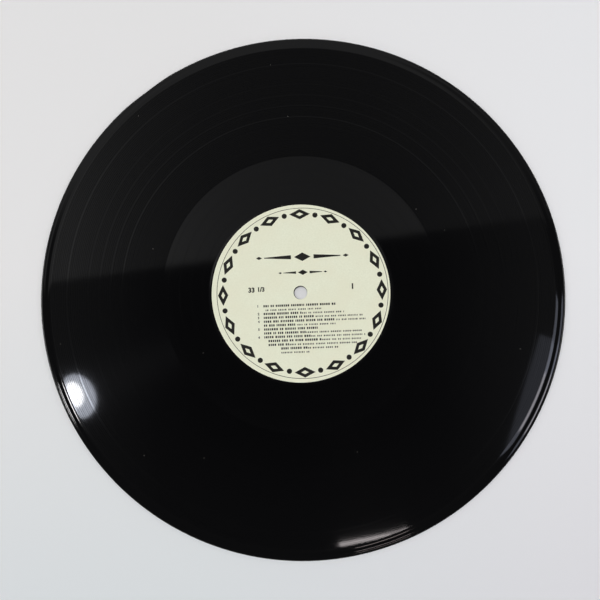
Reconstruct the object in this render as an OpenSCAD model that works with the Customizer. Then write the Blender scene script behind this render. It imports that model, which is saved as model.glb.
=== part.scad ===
// Long-playing gramophone record, 12 inch, with level faces, a thinner rim and two paper labels.
// The disc is one pressing and the labels are pressed into it on both sides.
// All lengths are millimetres. The disc lies flat on z = 0 with side 1 up, and
// its spindle hole runs along the Z axis.

/* [Disc] */
// Diameter over the trimmed edge
disc_d = 301.6; // [260:0.1:310]
// Thickness of the playing area, between the grooves
playing_t = 1.9; // [1.6:0.05:3]
// Height of the label area above the playing area, on each side
label_rise = 0.05; // [0:0.01:0.4]

/* [Spindle hole] */
// Diameter of the hole
hole_d = 7.26; // [7:0.01:8]
// Rounding of the hole's upper and lower edge
hole_edge_r = 0.3; // [0.1:0.05:0.6]

/* [Rim] */
// Width of the rim, from the top of its slope to the edge of the disc
rim_w = 4.5; // [4:0.1:8]
// Width of the slope that leads down from the playing area to the level outer strip
rim_slope_w = 2.4; // [0.8:0.1:3.2]
// Fall of the slope, on each side
rim_fall = 0.17; // [0.02:0.01:0.3]
// Rounding of the disc's upper and lower edge
rim_edge_r = 0.6; // [0.2:0.05:0.6]

/* [Labels] */
// Diameter of each paper label
label_d = 102.6; // [98:0.1:108]
// Thickness of the label paper
label_t = 0.12; // [0.08:0.01:0.25]
// Clearance between the paper's edges and the walls of its recess
label_fit = 0.05; // [0.02:0.01:0.2]
// Width of the level shoulder around each label
shoulder_w = 0.5; // [0.2:0.1:3]
// Width of the slope that leads down from the shoulder
shoulder_slope_w = 0.6; // [0.4:0.1:4]

/* [Tracks, from the rim inwards] */
// Plain strip between the top of the rim's slope and the first track
lead_in_w = 2.1; // [0.6:0.1:4]
// Width of the grooved band of track 1
track_1_w = 8.2; // [3:0.1:20]
// Width of the grooved band of track 2
track_2_w = 11.3; // [3:0.1:20]
// Width of the grooved band of track 3
track_3_w = 5.6; // [3:0.1:20]
// Width of the grooved band of track 4
track_4_w = 5.3; // [3:0.1:20]
// Width of the grooved band of track 5
track_5_w = 5.8; // [3:0.1:20]
// Width of the grooved band of track 6
track_6_w = 23.2; // [3:0.1:30]
// Width of the plain gap between two tracks
track_gap_w = 1; // [0.5:0.1:3]

/* [Grooves] */
// Width of each groove at the surface
groove_w = 0.3; // [0.1:0.05:0.4]
// Depth of each groove
groove_depth = 0.06; // [0.02:0.01:0.15]
// Step from groove to groove within a track
groove_pitch = 1; // [0.6:0.1:2]
// Step from turn to turn of the run-out groove
run_out_pitch = 6.4; // [2:0.1:12]
// Clearance between the foot of the label's shoulder and the last groove
last_groove_gap = 0.6; // [0.1:0.05:2]

/* [Hidden] */

disc_r = disc_d / 2;
hole_r = hole_d / 2;
label_r = label_d / 2;

// Heights are counted from the disc's middle plane, because both sides are alike
playing_h = playing_t / 2;
label_h = playing_h + label_rise;
rim_h = playing_h - rim_fall;
mid_z = label_h;

// The inner group of radii grows outwards from the hole and the label
label_hole_r = hole_r + hole_edge_r + label_fit;
recess_r = label_r + label_fit;
shoulder_r = recess_r + shoulder_w;
shoulder_foot_r = shoulder_r + shoulder_slope_w;
last_groove_r = shoulder_foot_r + last_groove_gap + groove_w / 2;

// The outer group of radii grows inwards from the edge
rim_top_r = disc_r - rim_w;
rim_strip_r = rim_top_r + rim_slope_w;
first_track_r = rim_top_r - lead_in_w;
track_w = [track_1_w, track_2_w, track_3_w, track_4_w, track_5_w, track_6_w];
track_count = len(track_w);

// A list in the opposite order
function turned_round(list) = [for (i = [len(list) - 1:-1:0]) list[i]];
// Sum of the first n widths in a list
function sum_of(widths, n) = n == 0 ? 0 : widths[n - 1] + sum_of(widths, n - 1);
// Outer radius of a track, counted from 0 at the rim
function track_outer_r(i) = first_track_r - sum_of(track_w, i) - i * track_gap_w;
last_track_inner_r = track_outer_r(track_count - 1) - track_w[track_count - 1];

// How finely curves are divided
round_steps = 5;
slope_steps = 6;
$fn = 180;

// Points of a rounded edge: from the wall up to the face, for a solid on the side of "inwards"
function rounded(r, h, radius, inwards) =
    [for (i = [0:round_steps]) let (a = 90 * i / round_steps)
        [r + inwards * radius * (1 - cos(a)), h - radius * (1 - sin(a))]];
// Points of a smooth slope between two radii, level at both of its ends
function slope(r1, h1, r2, h2) =
    [for (i = [0:slope_steps]) let (s = i / slope_steps)
        [r1 + (r2 - r1) * s, h1 + (h2 - h1) * (1 - cos(180 * s)) / 2]];
// Points of one groove
function groove(r) =
    [[r - groove_w / 2, playing_h], [r, playing_h - groove_depth], [r + groove_w / 2, playing_h]];

// Radii of the run-out turns, from the closed last groove towards the last track
run_out_r = [for (r = [last_groove_r:run_out_pitch:last_track_inner_r - 2 * groove_w]) r];
// Radii of the grooves of each track, the innermost track first
track_r = [for (i = [track_count - 1:-1:0])
    let (n = max(1, floor(track_w[i] / groove_pitch)), step = track_w[i] / n,
         inner_r = track_outer_r(i) - track_w[i])
    for (k = [0:n - 1]) inner_r + (k + 0.5) * step];
lead_in_r = rim_top_r - lead_in_w / 2;
groove_r = concat(run_out_r, track_r, [lead_in_r]);

// Upper outline of half the disc's section, from the hole to the edge
upper_half = concat(
    rounded(hole_r, label_h, hole_edge_r, 1),
    [[hole_r + hole_edge_r, label_h - label_t], [recess_r, label_h - label_t], [recess_r, label_h]],
    slope(shoulder_r, label_h, shoulder_foot_r, playing_h),
    [for (r = groove_r) each groove(r)],
    slope(rim_top_r, playing_h, rim_strip_r, rim_h),
    turned_round(rounded(disc_r, rim_h, rim_edge_r, -1)));
lower_half = [for (point = turned_round(upper_half)) [point[0], -point[1]]];

// The pressing, turned from its section
module disc() {
    color("#161617")
    translate([0, 0, mid_z])
    rotate_extrude()
    polygon(concat(upper_half, lower_half));
}

// A paper ring that fills one recess, with its outer face flush with the label area
module label_paper() {
    color("#dfe1cb")
    difference() {
        cylinder(h = label_t, r = label_r);
        translate([0, 0, -label_t]) cylinder(h = 3 * label_t, r = label_hole_r);
    }
}

module label_side_1() {
    translate([0, 0, mid_z + label_h - label_t]) label_paper();
}

module label_side_2() {
    translate([0, 0, mid_z - label_h]) label_paper();
}

disc();
label_side_1();
label_side_2();
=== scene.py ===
import bpy
import math
import random
from mathutils import Matrix, Vector


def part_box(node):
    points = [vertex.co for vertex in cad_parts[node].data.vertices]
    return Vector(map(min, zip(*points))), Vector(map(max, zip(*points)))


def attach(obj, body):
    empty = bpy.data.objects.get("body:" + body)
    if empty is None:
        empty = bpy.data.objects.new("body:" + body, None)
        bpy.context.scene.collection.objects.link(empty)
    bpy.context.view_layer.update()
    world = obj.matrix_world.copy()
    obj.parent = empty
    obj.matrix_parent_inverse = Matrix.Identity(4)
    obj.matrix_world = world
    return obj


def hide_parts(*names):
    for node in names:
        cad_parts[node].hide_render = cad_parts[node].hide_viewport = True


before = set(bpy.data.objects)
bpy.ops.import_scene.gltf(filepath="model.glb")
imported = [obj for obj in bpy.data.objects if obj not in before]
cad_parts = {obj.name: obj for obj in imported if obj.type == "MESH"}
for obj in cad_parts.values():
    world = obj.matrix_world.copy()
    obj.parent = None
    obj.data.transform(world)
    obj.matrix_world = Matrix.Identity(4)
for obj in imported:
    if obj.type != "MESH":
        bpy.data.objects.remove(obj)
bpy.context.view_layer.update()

# The record is seen from almost straight above side 1, 48 cm up, so that it looks nearly round.
# The camera leans by a few degrees, and the label's print runs 2 degrees off the picture's level.
disc_low, disc_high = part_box("disc")
mid_z = (disc_low.z + disc_high.z) / 2
lean_x = math.radians(-4.94)
lean_y = math.radians(-1.73)
print_turn = math.radians(2)
hole_from_camera = Vector((0.00045, 0.00405, -0.4796))
camera_data = bpy.data.cameras.new("camera")
camera_data.lens = 50.03
camera_data.sensor_width = 36
camera = bpy.data.objects.new("camera", camera_data)
bpy.context.scene.collection.objects.link(camera)
bpy.context.scene.camera = camera
into_camera = (Matrix.Translation(hole_from_camera) @ Matrix.Rotation(lean_x, 4, "X")
               @ Matrix.Rotation(lean_y, 4, "Y") @ Matrix.Rotation(print_turn, 4, "Z")
               @ Matrix.Translation((0, 0, -mid_z)))
camera.matrix_world = into_camera.inverted()

# The pressing is one plate of black PVC, squeezed between two stampers and trimmed at its edge.
# Each side has one spiral groove: a lead-in turn, six tracks with five gaps, a run-out and a closed
# last groove. The faces are level up to the rim, where they fall in a smooth curve to a rounded edge.
mm = 0.001
disc_r = min(disc_high.x, disc_high.y, -disc_low.x, -disc_low.y) / mm
label_h = (disc_high.z - disc_low.z) / 2 / mm
recess_depth = 0.12
seat_h = label_h - recess_depth
hole_r = 3.63
hole_edge_r = 0.3
recess_r = 51.35
shoulder_w = 0.5
shoulder_slope_w = 1.1
playing_h = 0.95
last_groove_r = 53.2
run_out_turns = 4
track_widths = [23.2, 5.8, 5.3, 5.6, 11.3, 8.2]
track_gap_w = 1
plain_gap_w = [0.3, 0.15, 0.1, 0.06, 0.2]
first_track_r = 144.2
land_r = 144.75
rim_falls = [(145.1, 0.001), (145.4, 0.0042), (145.7, 0.0085), (146, 0.0145), (146.3, 0.0225),
             (146.6, 0.0345), (146.9, 0.0565), (147.2, 0.0895), (147.5, 0.1255), (147.8, 0.1615),
             (148.1, 0.1935), (148.4, 0.2155), (148.8, 0.219)]
rim_round_r = 149.2
rim_h = playing_h - rim_falls[-1][1]
rim_edge_depth = 0.6
curve_steps = 8
groove_half_w = 0.07
groove_depth = 0.07
track_pitch = 1
columns = 192
groove_fade = 0.012
sharp_angle = math.radians(20)
flat_spot_turn = math.radians(127.3) - print_turn
flat_spot_depth = 0.6
flat_spot_reach = math.cos(math.radians(60))
same_point = 0.001
ring_parts = ("start_r", "end_r", "height", "side", "sink", "opens", "closes", "shift")


def linear(hex_colour):
    """An sRGB colour, such as #dfe1cb, as linear red, green, blue and alpha."""
    parts = [int(hex_colour[i:i + 2], 16) / 255 for i in (1, 3, 5)]
    return [p / 12.92 if p <= 0.04045 else ((p + 0.055) / 1.055) ** 2.4 for p in parts] + [1]


def add_node(tree, kind, inputs=(), **settings):
    """Adds a node. Its inputs, by name or in order, are values, sockets, or nodes that feed it."""
    node = tree.nodes.new(kind)
    for name, value in settings.items():
        setattr(node, name, value)
    for key, value in inputs.items() if isinstance(inputs, dict) else enumerate(inputs):
        if isinstance(value, bpy.types.Node):
            value = value.outputs[0]
        if isinstance(value, bpy.types.NodeSocket):
            tree.links.new(value, node.inputs[key])
        else:
            node.inputs[key].default_value = value
    return node


def new_tree(name, sockets):
    """A Geometry Nodes tree from geometry to geometry, and its inputs. Each socket is a name and a type."""
    tree = bpy.data.node_groups.new(name, "GeometryNodeTree")
    for socket_name, socket_type in [("Geometry", "Geometry"), *sockets]:
        tree.interface.new_socket(socket_name, in_out="INPUT", socket_type="NodeSocket" + socket_type)
    tree.interface.new_socket("Geometry", in_out="OUTPUT", socket_type="NodeSocketGeometry")
    return tree, add_node(tree, "NodeGroupInput").outputs


def shaped(name, mesh, tree, values):
    """A plain mesh object made by the tree from a mesh, with the tree's inputs given by name."""
    source = bpy.data.objects.new(name + "_source", mesh)
    bpy.context.scene.collection.objects.link(source)
    modifier = source.modifiers.new(tree.name, "NODES")
    modifier.node_group = tree
    for item in tree.interface.items_tree:
        if item.in_out == "INPUT" and item.name in values:
            modifier[item.identifier] = values[item.name]
    seen = source.evaluated_get(bpy.context.evaluated_depsgraph_get())
    result = bpy.data.meshes.new_from_object(seen)
    result.name = name
    bpy.data.objects.remove(source)
    piece = bpy.data.objects.new(name, result)
    bpy.context.scene.collection.objects.link(piece)
    return piece


def new_material(name, colour, **values):
    """A material with one Principled shader, whose constant values are set by their sockets' names."""
    material = bpy.data.materials.new(name)
    material.use_nodes = True
    tree = material.node_tree
    tree.nodes.clear()
    shader = add_node(tree, "ShaderNodeBsdfPrincipled", {"Base Color": linear(colour), **values})
    add_node(tree, "ShaderNodeOutputMaterial", {"Surface": shader})
    return material, tree, shader


class Ring:
    """One circle of a turned section, or one edge or the bottom of one turn of the groove.

    A turn of the groove ends at another radius than it starts. Its edges have side -1 and 1 and its bottom
    has sink 1. The groove opens in the first turn of a stretch and closes in the last one. Grooved is for
    the finish from this ring to the next, and a ring with shift 1 moves with the label's punched hole.
    """

    def __init__(self, radius, height, end_radius=None, side=0, sink=0, opens=0, closes=0, grooved=0,
                 shift=0):
        self.start_r = radius
        self.end_r = radius if end_radius is None else end_radius
        self.height = height
        self.side = side
        self.sink = sink
        self.opens = opens
        self.closes = closes
        self.grooved = grooved
        self.shift = shift

    def turned_over(self):
        """The same ring on side 2, where the groove winds the other way round as seen from above."""
        return Ring(self.end_r, -self.height, self.start_r, self.side, -self.sink, self.closes, self.opens,
                    self.grooved, self.shift)


def curve_rings(r1, h1, r2, h2, shape):
    """Rings from one radius and height to another. Shape gives the shares of both steps, for 0 to 1."""
    shares = [shape(i / curve_steps) for i in range(curve_steps + 1)]
    return [Ring(r1 + (r2 - r1) * a, h1 + (h2 - h1) * b) for a, b in shares]


def slope(share):
    """Level at both of its ends."""
    return share, (1 - math.cos(math.pi * share)) / 2


def rounded(share):
    """A quarter of an ellipse that starts upright and ends level."""
    return 1 - math.cos(math.pi / 2 * share), math.sin(math.pi / 2 * share)


def groove_rings(inner_r, outer_r, turns, grooved):
    """One stretch of the groove, between the circles where it ends and starts, from the inside outwards."""
    step = (outer_r - inner_r) / turns
    rings = []
    for turn in range(turns):
        end_r = inner_r + turn * step
        opens = int(turn == turns - 1)
        closes = int(turn == 0)
        for side in (-1, 0, 1):
            rings.append(Ring(end_r + step, playing_h, end_r, side, 1 - abs(side), opens, closes, grooved))
    return rings


def pressing_side():
    """Rings of one side, from the hole to the edge, with heights above the disc's middle plane.

    The groove is in stretches, one for each track, and its single turn across each gap is left out. It is
    drawn about ten times as coarse as the real one, so that it shows and the mesh stays light.
    """
    shoulder_r = recess_r + shoulder_w
    rings = curve_rings(hole_r, seat_h - hole_edge_r, hole_r + hole_edge_r, seat_h, rounded)
    rings += [Ring(recess_r, seat_h), Ring(recess_r, label_h)]
    rings += curve_rings(shoulder_r, label_h, shoulder_r + shoulder_slope_w, playing_h, slope)
    rings += [Ring(last_groove_r, playing_h, None, side, 1 - abs(side)) for side in (-1, 0, 1)]
    track_r = first_track_r - sum(track_widths) - track_gap_w * (len(track_widths) - 1)
    rings += groove_rings(last_groove_r + groove_half_w, track_r, run_out_turns, 0)
    for number, width in enumerate(track_widths):
        if number > 0:
            edge_w = (track_gap_w - plain_gap_w[number - 1]) / 2
            rings += [Ring(track_r, playing_h, grooved=1), Ring(track_r + edge_w, playing_h),
                      Ring(track_r + track_gap_w - edge_w, playing_h, grooved=1)]
            track_r += track_gap_w
        rings += [Ring(track_r, playing_h, grooved=1),
                  *groove_rings(track_r, track_r + width, round(width / track_pitch), 1)]
        track_r += width
    rings += [Ring(track_r, playing_h, grooved=1), *groove_rings(track_r, land_r, 1, 1),
              Ring(land_r, playing_h)]
    rings += [Ring(radius, playing_h - fall) for radius, fall in rim_falls]
    rings += reversed(curve_rings(disc_r, rim_h - rim_edge_depth, rim_round_r, rim_h, rounded))
    return rings


def ring_table(name, lower, upper):
    """A mesh with one point a ring: out over the lower face, back in over the upper one, and closed."""
    rings = [*lower, *reversed(upper), lower[0]]
    bands = [ring.grooved for ring in lower] + [ring.grooved for ring in reversed(upper)][1:] + [0, 0]
    table = {part: [getattr(ring, part) for ring in rings] for part in ring_parts}
    table["grooved"] = bands
    mesh = bpy.data.meshes.new(name)
    mesh.from_pydata([(0, 0, 0)] * len(rings), [], [])
    for part, values in table.items():
        attribute = mesh.attributes.new(part, "FLOAT", "POINT")
        attribute.data.foreach_set("value", [float(value) for value in values])
    return mesh


# The tree turns a ring table, in millimetres, into a closed mesh in metres. Rings that start and end at
# different radii wind inwards, and the last column's points meet those of the next turn's first column.
turned_tree, given = new_tree("turned section", [
    ("Columns", "Int"), ("Groove half width", "Float"), ("Groove depth", "Float"), ("Groove fade", "Float"),
    ("Middle height", "Float"), ("Hole shift", "Vector"), ("Flat spot turn", "Float"),
    ("Flat spot distance", "Float"), ("Sharp angle", "Float"), ("Same point", "Float"), ("Unit", "Float"),
    ("Plain finish", "Material"), ("Grooved finish", "Material")])
calc = "ShaderNodeMath"
ring_count = add_node(turned_tree, "GeometryNodeAttributeDomainSize", {"Geometry": given["Geometry"]})
last_column = add_node(turned_tree, calc, (given["Columns"], 1), operation="ADD")
grid = add_node(turned_tree, "GeometryNodeMeshGrid", (1, 1, last_column, ring_count))
index = add_node(turned_tree, "GeometryNodeInputIndex")
ring = add_node(turned_tree, calc, (index, ring_count), operation="FLOORED_MODULO")
before = add_node(turned_tree, calc, (index, ring), operation="SUBTRACT")
column = add_node(turned_tree, calc, (before, ring_count), operation="DIVIDE")
share = add_node(turned_tree, calc, (column, given["Columns"]), operation="DIVIDE")
left = add_node(turned_tree, calc, (1, share), operation="SUBTRACT")
angle = add_node(turned_tree, calc, (share, math.tau), operation="MULTIPLY")
band_count = add_node(turned_tree, calc, (ring_count, 1), operation="SUBTRACT")
band = add_node(turned_tree, calc, (index, band_count), operation="FLOORED_MODULO")

# Every point looks its ring's values up in the table, and every face of a band those of the band.
at_ring = {}
for part in (*ring_parts, "grooved"):
    named = add_node(turned_tree, "GeometryNodeInputNamedAttribute", {"Name": part}, data_type="FLOAT")
    at_ring[part] = add_node(turned_tree, "GeometryNodeSampleIndex", {
        "Geometry": given["Geometry"], "Value": named, "Index": band if part == "grooved" else ring},
        data_type="FLOAT", domain="POINT")

# A groove comes out of the level face over a short way where it opens, and runs out so where it closes.
cut = 1
for part, distance in (("opens", share), ("closes", left)):
    whole = add_node(turned_tree, calc, (1, at_ring[part]), operation="SUBTRACT")
    faded = add_node(turned_tree, calc, (distance, given["Groove fade"]), operation="DIVIDE")
    wide = add_node(turned_tree, calc, (whole, faded), operation="MAXIMUM")
    cut = add_node(turned_tree, calc, (wide, cut), operation="MINIMUM")
winding = add_node(turned_tree, calc, (at_ring["end_r"], at_ring["start_r"]), operation="SUBTRACT")
wound_r = add_node(turned_tree, calc, (winding, share, at_ring["start_r"]), operation="MULTIPLY_ADD")
half_w = add_node(turned_tree, calc, (cut, given["Groove half width"]), operation="MULTIPLY")
cut_r = add_node(turned_tree, calc, (at_ring["side"], half_w, wound_r), operation="MULTIPLY_ADD")
depth = add_node(turned_tree, calc, (cut, given["Groove depth"]), operation="MULTIPLY")
sunk = add_node(turned_tree, calc, (at_ring["sink"], depth), operation="MULTIPLY")
from_middle = add_node(turned_tree, calc, (at_ring["height"], sunk), operation="SUBTRACT")
height = add_node(turned_tree, calc, (from_middle, given["Middle height"]), operation="ADD")

# The flat spot is a straight cut across the edge. Points that face far from it are out of its reach.
from_flat = add_node(turned_tree, calc, (angle, given["Flat spot turn"]), operation="SUBTRACT")
towards_flat = add_node(turned_tree, calc, (from_flat,), operation="COSINE")
facing = add_node(turned_tree, calc, (towards_flat, flat_spot_reach), operation="MAXIMUM")
flat_r = add_node(turned_tree, calc, (given["Flat spot distance"], facing), operation="DIVIDE")
radius = add_node(turned_tree, calc, (cut_r, flat_r), operation="MINIMUM")
across = add_node(turned_tree, calc, (angle,), operation="COSINE")
along = add_node(turned_tree, calc, (angle,), operation="SINE")
across = add_node(turned_tree, calc, (radius, across), operation="MULTIPLY")
along = add_node(turned_tree, calc, (radius, along), operation="MULTIPLY")
centred = add_node(turned_tree, "ShaderNodeCombineXYZ", (across, along, height))
shifted = add_node(turned_tree, "ShaderNodeVectorMath", (given["Hole shift"], at_ring["shift"], centred),
                   operation="MULTIPLY_ADD")
place = add_node(turned_tree, "ShaderNodeVectorMath", {0: shifted, "Scale": given["Unit"]},
                 operation="SCALE")
banded = add_node(turned_tree, "GeometryNodeStoreNamedAttribute", {
    "Geometry": grid, "Name": "grooved", "Value": at_ring["grooved"]}, data_type="FLOAT", domain="FACE")
turned = add_node(turned_tree, "GeometryNodeSetPosition", {"Geometry": banded, "Position": place})
closed = add_node(turned_tree, "GeometryNodeMergeByDistance", {
    "Geometry": turned, "Distance": given["Same point"]})
smooth = add_node(turned_tree, "GeometryNodeSetShadeSmooth", {"Geometry": closed, "Shade Smooth": True})
bend = add_node(turned_tree, "GeometryNodeInputMeshEdgeAngle")
sharp = add_node(turned_tree, calc, (bend, given["Sharp angle"]), operation="GREATER_THAN")
creased = add_node(turned_tree, "GeometryNodeSetShadeSmooth", {
    "Geometry": smooth, "Selection": sharp, "Shade Smooth": False}, domain="EDGE")
real = add_node(turned_tree, "GeometryNodeRealizeInstances", {"Geometry": creased})
plain = add_node(turned_tree, "GeometryNodeSetMaterial", {
    "Geometry": real, "Material": given["Plain finish"]})
kept = add_node(turned_tree, "GeometryNodeInputNamedAttribute", {"Name": "grooved"}, data_type="FLOAT")
in_tracks = add_node(turned_tree, calc, (kept, 0.5), operation="GREATER_THAN")
finished = add_node(turned_tree, "GeometryNodeSetMaterial", {
    "Geometry": plain, "Selection": in_tracks, "Material": given["Grooved finish"]})
add_node(turned_tree, "NodeGroupOutput", {"Geometry": finished})

# Pressed PVC, plain: record compound is PVC with carbon black, and the polished stamper leaves it as
# smooth as glass. It is near black and mirrors what is above it, a little wavy where it shrank.
pvc_colour = "#050506"
pvc_ior = 1.54
wave_size = 14 * mm
wave_height = 0.004 * mm
plain_pvc, tree, shader = new_material("pressed PVC, plain", pvc_colour, IOR=pvc_ior, Roughness=0.045)
spot = add_node(tree, "ShaderNodeTexCoord").outputs["Object"]
waves = add_node(tree, "ShaderNodeTexNoise", {"Vector": spot, "Scale": 1 / wave_size, "Detail": 1.0})
wavy = add_node(tree, "ShaderNodeBump", {"Height": waves, "Distance": wave_height})
tree.links.new(wavy.outputs[0], shader.inputs["Normal"])

# Pressed PVC, microgrooved: the same compound with grooves 0.1 mm apart, finer than the spiral that is
# modelled. The lands between them still mirror, but less, and their walls spread light along the radius.
# Loud and quiet passages pack them unevenly, which shows as rings about a millimetre wide.
passage_size = 1.1 * mm
least_land = 0.35
most_land = 0.42
grooved_pvc, tree, shader = new_material("pressed PVC, microgrooved", pvc_colour, **{
    "IOR": pvc_ior, "Roughness": 0.31, "Specular IOR Level": 0.02, "Anisotropic": 1.0,
    "Coat Roughness": 0.038, "Coat IOR": pvc_ior})
spot = add_node(tree, "ShaderNodeTexCoord").outputs["Object"]
level_spot = add_node(tree, "ShaderNodeVectorMath", (spot, (1, 1, 0)), operation="MULTIPLY")
radial = add_node(tree, "ShaderNodeVectorMath", (level_spot,), operation="NORMALIZE")
tree.links.new(radial.outputs[0], shader.inputs["Tangent"])
from_hole = add_node(tree, "ShaderNodeVectorMath", (level_spot,), operation="LENGTH").outputs["Value"]
passages = add_node(tree, "ShaderNodeTexNoise", {
    "W": from_hole, "Scale": 1 / passage_size, "Detail": 3.0}, noise_dimensions="1D")
land = add_node(tree, "ShaderNodeMapRange", (passages, 0.3, 0.7, least_land, most_land))
tree.links.new(land.outputs[0], shader.inputs["Coat Weight"])

# A few specks of pale dust lie on the pressing, whatever is under them.
speck_r = 0.18 * mm
speck_spacing = 42 * mm
speck_share = 0.4
for finish in (plain_pvc, grooved_pvc):
    tree = finish.node_tree
    spot = add_node(tree, "ShaderNodeTexCoord").outputs["Object"]
    specks = add_node(tree, "ShaderNodeTexVoronoi", {"Vector": spot, "Scale": 1 / speck_spacing},
                      voronoi_dimensions="2D").outputs
    chance = add_node(tree, "ShaderNodeSeparateColor", (specks["Color"],))
    kept = add_node(tree, calc, (chance, 1 - speck_share), operation="GREATER_THAN")
    near = add_node(tree, calc, (specks["Distance"], speck_r / speck_spacing), operation="LESS_THAN")
    speck = add_node(tree, calc, (kept, near), operation="MULTIPLY")
    dusty = add_node(tree, "ShaderNodeMix", {
        0: speck, 6: linear(pvc_colour), 7: linear("#6f6d68")}, data_type="RGBA")
    tree.links.new(dusty.outputs[2], tree.nodes["Principled BSDF"].inputs["Base Color"])

pressing_sizes = {
    "Columns": columns, "Groove half width": groove_half_w, "Groove depth": groove_depth,
    "Groove fade": groove_fade, "Middle height": mid_z / mm, "Flat spot turn": flat_spot_turn,
    "Flat spot distance": disc_r - flat_spot_depth, "Sharp angle": sharp_angle,
    "Same point": same_point * mm, "Unit": mm, "Plain finish": plain_pvc, "Grooved finish": grooved_pvc}
side_2_rings = [ring.turned_over() for ring in pressing_side()]
pressing_rings = ring_table("pressing_rings", side_2_rings, pressing_side())
pressing = shaped("disc_pressing", pressing_rings, turned_tree, pressing_sizes)
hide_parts("disc")
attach(pressing, "root")

# Each label is a disc of uncoated cream paper with a punched hole. It has no glue: it lies in the mould,
# and the hot compound keys into its back, so that it sits flush in its recess.
label_r = 51.3
label_hole_r = 3.9
label_hole_lip = 0.08
lip_round_w = 0.3
lip_w = 1
ink_t = 0.02
label_hole_shift = Vector((-0.18, 0.18, 0))
paper_top_h = label_h - ink_t

# Uncoated label paper: cream, with short fibres that show as a fine mottle and make it rough. The mottle
# is drawn at 0.9 mm, because real fibres are too fine to show.
fibre_size = 0.9 * mm
fibre_height = 0.03 * mm
cloud_size = 16 * mm
paper, tree, shader = new_material("uncoated label paper", "#dfe1cb", **{
    "Roughness": 0.85, "Specular IOR Level": 0.25})
spot = add_node(tree, "ShaderNodeTexCoord").outputs["Object"]
fibres = add_node(tree, "ShaderNodeTexNoise", {"Vector": spot, "Scale": 1 / fibre_size, "Detail": 4.0})
clouds = add_node(tree, "ShaderNodeTexNoise", {"Vector": spot, "Scale": 1 / cloud_size, "Detail": 2.0})
mottle = add_node(tree, "ShaderNodeMapRange", (fibres, 0.3, 0.7))
mottled = add_node(tree, "ShaderNodeMix", {
    0: mottle, 6: linear("#dfe1ca"), 7: linear("#e6e8d2")}, data_type="RGBA")
cloudy = add_node(tree, "ShaderNodeMapRange", (clouds, 0.35, 0.65, 0, 0.5))
toned = add_node(tree, "ShaderNodeMix", {
    0: cloudy, 6: mottled.outputs[2], 7: linear("#e1dfc7")}, data_type="RGBA")
tree.links.new(toned.outputs[2], shader.inputs["Base Color"])
rough = add_node(tree, "ShaderNodeBump", {"Height": fibres, "Distance": fibre_height, "Strength": 0.5})
tree.links.new(rough.outputs[0], shader.inputs["Normal"])

paper_sizes = {**pressing_sizes, "Hole shift": label_hole_shift, "Flat spot distance": disc_r,
               "Plain finish": paper, "Grooved finish": paper}
paper_back = [Ring(label_hole_r, seat_h - label_hole_lip, shift=1), Ring(label_hole_r + lip_w, seat_h),
              Ring(label_r, seat_h)]
paper_face = [Ring(label_hole_r, paper_top_h - label_hole_lip, shift=1),
              Ring(label_hole_r + lip_round_w, paper_top_h, shift=1),
              Ring(label_hole_r + lip_w, paper_top_h), Ring(label_r, paper_top_h)]
for side in (1, 2):
    lower, upper = paper_back, paper_face
    if side == 2:
        lower, upper = ([ring.turned_over() for ring in rings] for rings in (paper_face, paper_back))
    paper_rings = ring_table("paper_rings", lower, upper)
    label = shaped(f"label_paper_side_{side}", paper_rings, turned_tree, paper_sizes)
    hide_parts(f"label_side_{side}")
    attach(label, "root")

# The print on each label is one pass of near-black ink, put on before the hole is punched, and a little
# off centre, as label print often is. Its border has lozenges and dots in turn.
ink_shift = Vector((0.9, 0.1, 0))
border_count = 16
border_r = 45.6
lozenge_w = 12
lozenge_h = 6
lozenge_hole = 0.36
dot_r = 1.5
dot_corners = 20

# Printing ink: carbon black in varnish, half sunk into the paper, so that it is dull and lets some of the
# paper's tone through.
ink, tree, shader = new_material("letterpress ink", "#1c1a12", Roughness=0.55)
spot = add_node(tree, "ShaderNodeTexCoord").outputs["Object"]
thin = add_node(tree, "ShaderNodeTexNoise", {"Vector": spot, "Scale": 1 / fibre_size, "Detail": 4.0})
thinness = add_node(tree, "ShaderNodeMapRange", (thin, 0.45, 0.75))
uneven = add_node(tree, "ShaderNodeMix", {
    0: thinness, 6: linear("#0f0e0a"), 7: linear("#201e17")}, data_type="RGBA")
tree.links.new(uneven.outputs[2], shader.inputs["Base Color"])


def flat_mesh(name, polygons):
    """Flat faces in millimetres, which share equal points. Each is a list of (x, y), counter-clockwise."""
    points = {}
    faces = [[points.setdefault(point, len(points)) for point in polygon] for polygon in polygons]
    mesh = bpy.data.meshes.new(name)
    mesh.from_pydata([(x, y, 0) for x, y in points], [], faces)
    return mesh


def lozenge(x, y, width, height):
    """A lozenge that stands on its point."""
    return [(x + width / 2, y), (x, y + height / 2), (x - width / 2, y), (x, y - height / 2)]


def open_ring(outer, inner):
    """The faces between two outlines with as many points."""
    count = len(outer)
    return [[outer[i], outer[(i + 1) % count], inner[(i + 1) % count], inner[i]] for i in range(count)]


def round_outline(radius, corners):
    """Points on a circle."""
    return [(radius * math.cos(math.tau * i / corners), radius * math.sin(math.tau * i / corners))
            for i in range(corners)]


def printed(piece, side):
    """Lays flat ink on one label and gives it its thickness."""
    if side == 2:
        to_side = Matrix.Translation((0, 0, mid_z - paper_top_h * mm)) @ Matrix.Rotation(math.pi, 4, "Y")
    else:
        to_side = Matrix.Translation((0, 0, mid_z + paper_top_h * mm))
    piece.data.transform(to_side @ Matrix.Scale(mm, 4) @ Matrix.Translation(ink_shift))
    film = piece.modifiers.new("film", "SOLIDIFY")
    film.thickness = ink_t * mm
    film.offset = 1
    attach(piece, "root")


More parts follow.
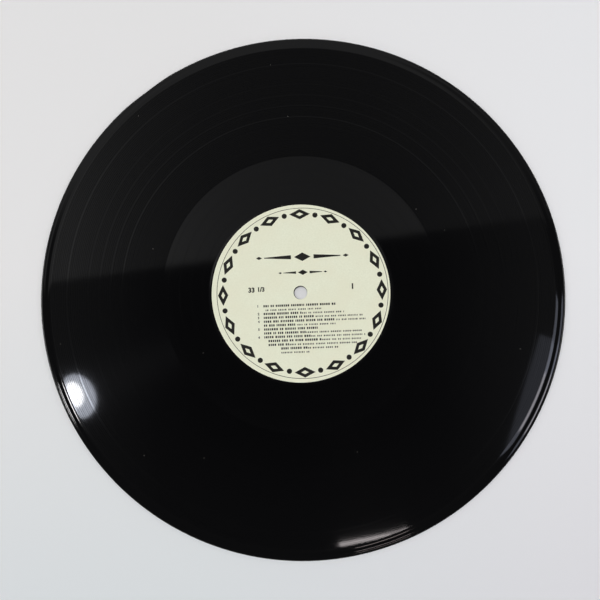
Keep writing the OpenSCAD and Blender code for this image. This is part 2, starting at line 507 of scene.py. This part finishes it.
# One motif is set on a circle as often as the border needs, each with its top outwards.
ring_tree, given = new_tree("motifs on a circle", [
    ("Count", "Int"), ("Radius", "Float"), ("First turn", "Float"), ("Ink", "Material")])
index = add_node(ring_tree, "GeometryNodeInputIndex")
share = add_node(ring_tree, calc, (index, given["Count"]), operation="DIVIDE")
angle = add_node(ring_tree, calc, (share, math.tau, given["First turn"]), operation="MULTIPLY_ADD")
across = add_node(ring_tree, calc, (angle,), operation="COSINE")
along = add_node(ring_tree, calc, (angle,), operation="SINE")
outward = add_node(ring_tree, "ShaderNodeCombineXYZ", (across, along, 0))
place = add_node(ring_tree, "ShaderNodeVectorMath", {0: outward, "Scale": given["Radius"]},
                 operation="SCALE")
spots = add_node(ring_tree, "GeometryNodePoints", {"Count": given["Count"], "Position": place})
quarter = add_node(ring_tree, calc, (angle, math.pi / 2), operation="SUBTRACT")
facing = add_node(ring_tree, "ShaderNodeCombineXYZ", (0, 0, quarter))
motifs = add_node(ring_tree, "GeometryNodeInstanceOnPoints", {
    "Points": spots, "Instance": given["Geometry"], "Rotation": facing})
real = add_node(ring_tree, "GeometryNodeRealizeInstances", {"Geometry": motifs})
inked = add_node(ring_tree, "GeometryNodeSetMaterial", {"Geometry": real, "Material": given["Ink"]})
add_node(ring_tree, "NodeGroupOutput", {"Geometry": inked})

lozenge_frame = open_ring(lozenge(0, 0, lozenge_w, lozenge_h),
                          lozenge(0, 0, lozenge_w * lozenge_hole, lozenge_h * lozenge_hole))
border = {"border_lozenges": (lozenge_frame, math.pi / 2),
          "border_dots": ([round_outline(dot_r, dot_corners)], math.pi / 2 + math.pi / border_count)}
for side in (1, 2):
    for name, (polygons, first_turn) in border.items():
        values = {"Count": border_count, "Radius": border_r, "First turn": first_turn, "Ink": ink}
        printed(shaped(f"{name}_side_{side}", flat_mesh(name, polygons), ring_tree, values), side)

# Rules of the same ink: a thin one outside the border, and in the heading's place a swelled one with a
# short one below it. A swelled rule thickens towards a lozenge in its middle and ends in two small ones.
border_rule_r = 49.3
border_rule_w = 0.3
border_rule_corners = 128
heading_x = 0.7
heading_rules = [(20.7, 25, 5), (11.7, 13, 3)]


def swelled_rule(x, y, half, thick):
    """The outlines of a swelled rule, whose parts are shares of its thickness."""
    shapes = [lozenge(x, y, thick * 1.9, thick)]
    for way in (-1, 1):
        near = x + way * thick * 1.3
        far = x + way * (half - thick * 0.6)
        bar = [(near, y + thick * 0.24), (far, y + thick * 0.05),
               (far, y - thick * 0.05), (near, y - thick * 0.24)]
        shapes.append(bar if way < 0 else bar[::-1])
        shapes.append(lozenge(x + way * half, y, thick * 0.7, thick * 0.36))
    return shapes


def print_flat(name, mesh, side):
    """Prints a flat mesh on one label as it is."""
    mesh.materials.append(ink)
    piece = bpy.data.objects.new(f"{name}_side_{side}", mesh)
    bpy.context.scene.collection.objects.link(piece)
    printed(piece, side)


rules = open_ring(round_outline(border_rule_r, border_rule_corners),
                  round_outline(border_rule_r - border_rule_w, border_rule_corners))
for rule_y, half, thick in heading_rules:
    rules += swelled_rule(heading_x, rule_y, half, thick)
for side in (1, 2):
    print_flat("rules", flat_mesh("rules", rules), side)

# The list's place holds rows of plain marks of ink, heavy for a title and light for what follows it. Each
# row has its title's number, if it starts one, its indent, and the lengths of its heavy and light marks.
row_pitch = 2.23
first_row_y = -7.7
row_x = -22.6
heavy = {"height": 1.25, "widths": (0.55, 1.0), "gap": 0.36}
light = {"height": 0.9, "widths": (0.35, 0.75), "gap": 0.42}
word_marks = (2, 7)
word_gap = 0.75
rows = [(1, 0, 41, 0), (None, 1.2, 0, 32), (2, 0, 21, 24), (3, 0, 28, 27), (4, 0, 40, 17), (None, 0, 18, 23),
        (5, 0, 31, 0), (None, 0, 24, 31), (6, 0, 26, 31), (None, 2.3, 30, 22), (None, 2.3, 12, 38),
        (None, 9.5, 14, 17), (None, 9.5, 0, 17)]

row_tree, given = new_tree("marks in rows", [("Ink", "Material")])
size = [add_node(row_tree, "GeometryNodeInputNamedAttribute", {"Name": name}, data_type="FLOAT")
        for name in ("mark_w", "mark_h")]
scale = add_node(row_tree, "ShaderNodeCombineXYZ", (size[0], size[1], 1))
block = add_node(row_tree, "GeometryNodeMeshGrid", (1, 1, 2, 2))
spots = add_node(row_tree, "GeometryNodeMeshToPoints", {"Mesh": given["Geometry"]})
marks = add_node(row_tree, "GeometryNodeInstanceOnPoints", {
    "Points": spots, "Instance": block, "Scale": scale})
real = add_node(row_tree, "GeometryNodeRealizeInstances", {"Geometry": marks})
inked = add_node(row_tree, "GeometryNodeSetMaterial", {"Geometry": real, "Material": given["Ink"]})
add_node(row_tree, "NodeGroupOutput", {"Geometry": inked})


def row_marks(seed):
    """The centre, width and height of every mark of the rows, in groups as long as words."""
    draw = random.Random(seed)
    marks = []
    for number, (_, indent, heavy_w, light_w) in enumerate(rows):
        x = row_x + indent
        y = first_row_y - number * row_pitch
        for kind, length in ((heavy, heavy_w), (light, light_w)):
            end = x + length
            marks_left = draw.randint(*word_marks)
            while x < end:
                width = draw.uniform(*kind["widths"])
                marks.append((x + width / 2, y + kind["height"] / 2, width, kind["height"]))
                x += width + kind["gap"]
                marks_left -= 1
                if marks_left == 0:
                    x += word_gap
                    marks_left = draw.randint(*word_marks)
    return marks


for side in (1, 2):
    marks = row_marks(side)
    mark_mesh = bpy.data.meshes.new("marks")
    mark_mesh.from_pydata([(x, y, 0) for x, y, width, height in marks], [], [])
    for attribute, column in (("mark_w", 2), ("mark_h", 3)):
        sizes = [mark[column] for mark in marks]
        mark_mesh.attributes.new(attribute, "FLOAT", "POINT").data.foreach_set("value", sizes)
    printed(shaped(f"row_marks_side_{side}", mark_mesh, row_tree, {"Ink": ink}), side)

# Plain numerals of the same ink: one before each title, the speed on the left and the side's number on
# the right. Each is given as its text, the x of its left edge, the y of its foot and its height.
numeral_weight = 0.045
numeral_curve_steps = 3
number_x = -26
number_height = 1.4
speed_numerals = [("33", -31, 1, 3), ("1/3", -25.4, 1.3, 2.7)]
side_numeral = (28.5, 1, 3.3)


def numeral_mesh(name, numerals):
    """One flat mesh of all the numerals."""
    points = []
    faces = []
    for text, x, y, tall in numerals:
        curve = bpy.data.curves.new(name, "FONT")
        curve.body = text
        curve.offset = numeral_weight
        curve.resolution_u = numeral_curve_steps
        holder = bpy.data.objects.new(name, curve)
        bpy.context.scene.collection.objects.link(holder)
        seen = holder.evaluated_get(bpy.context.evaluated_depsgraph_get())
        shape = seen.to_mesh()
        low_x, low_y = (min(v.co[axis] for v in shape.vertices) for axis in (0, 1))
        scale = tall / (max(v.co.y for v in shape.vertices) - low_y)
        first = len(points)
        points += [(x + (v.co.x - low_x) * scale, y + (v.co.y - low_y) * scale, 0) for v in shape.vertices]
        faces += [tuple(first + v for v in polygon.vertices) for polygon in shape.polygons]
        bpy.data.objects.remove(holder)
    mesh = bpy.data.meshes.new(name)
    mesh.from_pydata(points, [], faces)
    return mesh


title_numerals = [(str(row[0]), number_x, first_row_y - i * row_pitch, number_height)
                  for i, row in enumerate(rows) if row[0]]
for side in (1, 2):
    numerals = [*title_numerals, *speed_numerals, (str(side), *side_numeral)]
    print_flat("numerals", numeral_mesh("numerals", numerals), side)

# The record lies on a plain pale board in soft studio light, which isn't part of it. The board is matt,
# and its colour holds painted light and shade: darker and bluer at the near side, paler at the far side and
# at the right.
board_half = 12
board_z = -0.1 * mm
board_corners = [(x * board_half, y * board_half, board_z) for x, y in ((-1, -1), (1, -1), (1, 1), (-1, 1))]
board_mesh = bpy.data.meshes.new("floor")
board_mesh.from_pydata(board_corners, [], [(0, 1, 2, 3)])
board = bpy.data.objects.new("floor", board_mesh)
bpy.context.scene.collection.objects.link(board)
board_paint_and_light, tree, shader = new_material("matt pale board", "#e5e4e4", Roughness=0.95)
spot = add_node(tree, "ShaderNodeTexCoord").outputs["Object"]
board_place = add_node(tree, "ShaderNodeSeparateXYZ", (spot,)).outputs
far_side = add_node(tree, "ShaderNodeMapRange", (board_place["Y"], -0.17, 0.02))
right_side = add_node(tree, "ShaderNodeMapRange", (board_place["X"], -0.06, 0.17))
# Painted shade at the near side, and painted light at the far side and towards the right.
near_painted_shade = add_node(tree, "ShaderNodeMix", {
    0: right_side, 6: linear("#d8dcde"), 7: linear("#dddce0")}, data_type="RGBA")
far_painted_light = add_node(tree, "ShaderNodeMix", {
    0: right_side, 6: linear("#e5e4e4"), 7: linear("#e9e9eb")}, data_type="RGBA")
toned = add_node(tree, "ShaderNodeMix", {
    0: far_side, 6: near_painted_shade.outputs[2], 7: far_painted_light.outputs[2]}, data_type="RGBA")
tree.links.new(toned.outputs[2], shader.inputs["Base Color"])
board_mesh.materials.append(board_paint_and_light)


def add_lamp(name, kind, place, turn, power, **settings):
    """A lamp that the camera doesn't see. It shines down, turned by three angles in degrees."""
    lamp = bpy.data.lights.new(name, kind)
    lamp.energy = power
    for key, value in settings.items():
        setattr(lamp, key, value)
    holder = bpy.data.objects.new(name, lamp)
    bpy.context.scene.collection.objects.link(holder)
    holder.location = place
    holder.rotation_euler = [math.radians(angle) for angle in turn]
    holder.visible_camera = False
    return holder


# Soft light from above gives the level, and doesn't show in the gloss. Two broad lamps low at the sides
# and some small ones show in it. The bright middle of a lamp hangs just below its softer surround.
fill = add_lamp("fill_lamp", "SUN", (0, 0, 2), (0, 0, 0), 1.76, angle=math.radians(30))
fill.visible_glossy = False
for name, tilt in (("left_lamp", 55), ("right_lamp", -55)):
    add_lamp(name, "SUN", (0, 0, 2), (0, tilt, 0), 0.3, angle=math.radians(30))

# A small lamp is given by its height, and by where its mirror image is seen from the camera: the way to
# its middle and half of its size, both as shares of the height that the light travels. Then come its turn
# in degrees, its radiance, shape and colour.
eye = camera.matrix_world.translation
white = (1, 1, 1)
rosy = (1, 0.92, 0.92)
bluish = (0.85, 0.9, 1.1)
small_lamps = [
    ("left_glint_middle", 1.19, (-0.3018, -0.0163), (0.0103, 0.0157), 21, 60, "ELLIPSE", white),
    ("left_glint", 1.2, (-0.2976, -0.0187), (0.0212, 0.0272), 24, 21, "ELLIPSE", (0.93, 0.99, 1.14)),
    ("left_glint_end", 1.21, (-0.353, -0.0438), (0.014, 0.03), 25, 27, "ELLIPSE", white),
    ("front_glint", 1.2, (0.0385, -0.1972), (0.03, 0.0022), 9, 27, "RECTANGLE", rosy),
    ("front_glint_right", 1.2, (0.0775, -0.1893), (0.0125, 0.0022), 13.3, 17, "RECTANGLE", rosy),
    ("front_glint_end", 1.21, (0.078, -0.263), (0.04, 0.009), 17, 7.5, "RECTANGLE", (1, 0.85, 0.83)),
    ("right_glint", 1.2, (0.2676, -0.0505), (0.04, 0.077), -19.8, 1.25, "RECTANGLE", bluish),
    ("right_glint_middle", 1.19, (0.266, -0.055), (0.017, 0.04), -26.8, 3.7, "RECTANGLE", (1.02, 0.96, 1)),
    ("right_glint_end", 1.21, (0.309, 0.025), (0.03, 0.052), -15.4, 1.4, "RECTANGLE", bluish)]
for name, lamp_z, way, half, turn, radiance, shape, colour in small_lamps:
    reach = eye.z + lamp_z
    place = (eye.x + way[0] * reach, eye.y + way[1] * reach, lamp_z)
    wide, tall = (2 * part * reach for part in half)
    area = wide * tall * (math.pi / 4 if shape == "ELLIPSE" else 1)
    add_lamp(name, "AREA", place, (0, 0, turn), radiance * math.pi * area,
             shape=shape, size=wide, size_y=tall, color=colour)

# The room that shows in the gloss is plain: a pale ceiling up to a straight edge, dim walls below it and a
# paler horizon. A direction is taken where it meets a level plane one unit up: across, along that plane.
least_up = 0.02
ceiling_lean = -0.0945
ceiling_edge = (0.149, 0.155)
ceiling_level = 0.185
ceiling_most = 0.8
left_gain = 26
right_gain = 3
record_middle = (-0.026, 0.096, 0)
rim_reach = (0.303, 0.32)
dim = 0.05
horizon_level = 0.5
world = bpy.data.worlds.new("studio")
bpy.context.scene.world = world
world.use_nodes = True
tree = world.node_tree
tree.nodes.clear()
direction = add_node(tree, "ShaderNodeTexCoord").outputs["Generated"]
way = add_node(tree, "ShaderNodeSeparateXYZ", (direction,))
up = add_node(tree, calc, (way.outputs["Z"], least_up), operation="MAXIMUM")
across = add_node(tree, calc, (way.outputs["X"], up), operation="DIVIDE")
along = add_node(tree, calc, (way.outputs["Y"], up), operation="DIVIDE")
flat_way = add_node(tree, "ShaderNodeCombineXYZ", (across, along, 0))
past_edge = add_node(tree, calc, (across, ceiling_lean, along), operation="MULTIPLY_ADD")
in_ceiling = add_node(tree, "ShaderNodeMapRange", (past_edge, *ceiling_edge))
from_middle = add_node(tree, "ShaderNodeVectorMath", (flat_way, record_middle), operation="DISTANCE")
from_middle = from_middle.outputs["Value"]
past_rim = add_node(tree, "ShaderNodeMapRange", (from_middle, *rim_reach))

# The ceiling is lit more towards the left and a little towards the right. Past what the level faces show,
# only the rim shows it, at a level of its own, and far to either side it ends in the dark.
to_left = add_node(tree, calc, (0.08, across), operation="SUBTRACT")
to_left = add_node(tree, calc, (to_left, 0), operation="MAXIMUM")
to_left = add_node(tree, calc, (to_left, 4), operation="POWER")
to_right = add_node(tree, calc, (across, 0), operation="MAXIMUM")
to_right = add_node(tree, calc, (to_right, 2), operation="POWER")
ceiling = add_node(tree, calc, (to_left, left_gain, ceiling_level), operation="MULTIPLY_ADD")
ceiling = add_node(tree, calc, (to_right, right_gain, ceiling), operation="MULTIPLY_ADD")
ceiling = add_node(tree, calc, (ceiling, ceiling_most), operation="MINIMUM")
rim_left = add_node(tree, "ShaderNodeMapRange", (across, -0.25, -0.35, 0.27, 0.31))
rim_right = add_node(tree, "ShaderNodeMapRange", (across, 0.15, 0.3, 1, 0.45))
rim_level = add_node(tree, calc, (rim_left, rim_right), operation="MULTIPLY")
ceiling = add_node(tree, "ShaderNodeMix", {0: past_rim, 2: ceiling, 3: rim_level})
off_middle = add_node(tree, calc, (across, 0.03), operation="ADD")
off_middle = add_node(tree, calc, (off_middle,), operation="ABSOLUTE")
to_side = add_node(tree, "ShaderNodeMapRange", (off_middle, 0.36, 0.45), interpolation_type="SMOOTHSTEP")
near_edge = add_node(tree, "ShaderNodeMapRange", (along, 0.25, 0.4, 1, 0))
beside = add_node(tree, calc, (to_side, near_edge), operation="MULTIPLY")
ceiling = add_node(tree, "ShaderNodeMix", {0: beside, 2: ceiling, 3: dim})

# The walls are darkest in the middle, and a little paler to both sides and towards the record's edge.
walls = add_node(tree, "ShaderNodeMapRange", (off_middle, 0.17, 0.33, 0, 0.14))
outer = add_node(tree, "ShaderNodeMapRange", (from_middle, 0.15, 0.3, 0.02, 0.09))
walls = add_node(tree, calc, (walls, outer), operation="ADD")
walls = add_node(tree, "ShaderNodeMix", {0: past_rim, 2: walls, 3: dim})
overhead = add_node(tree, "ShaderNodeMix", {0: in_ceiling, 2: walls, 3: ceiling})
from_zenith = add_node(tree, "ShaderNodeVectorMath", (flat_way,), operation="LENGTH").outputs["Value"]
near_horizon = add_node(tree, "ShaderNodeMapRange", (from_zenith, 0.8, 2.4), interpolation_type="SMOOTHSTEP")
level = add_node(tree, "ShaderNodeMix", {0: near_horizon, 2: overhead, 3: horizon_level})
background = add_node(tree, "ShaderNodeBackground", {"Color": (1, 1, 1, 1), "Strength": level})
add_node(tree, "ShaderNodeOutputWorld", {"Surface": background})

bpy.context.scene.view_settings.view_transform = "Standard"
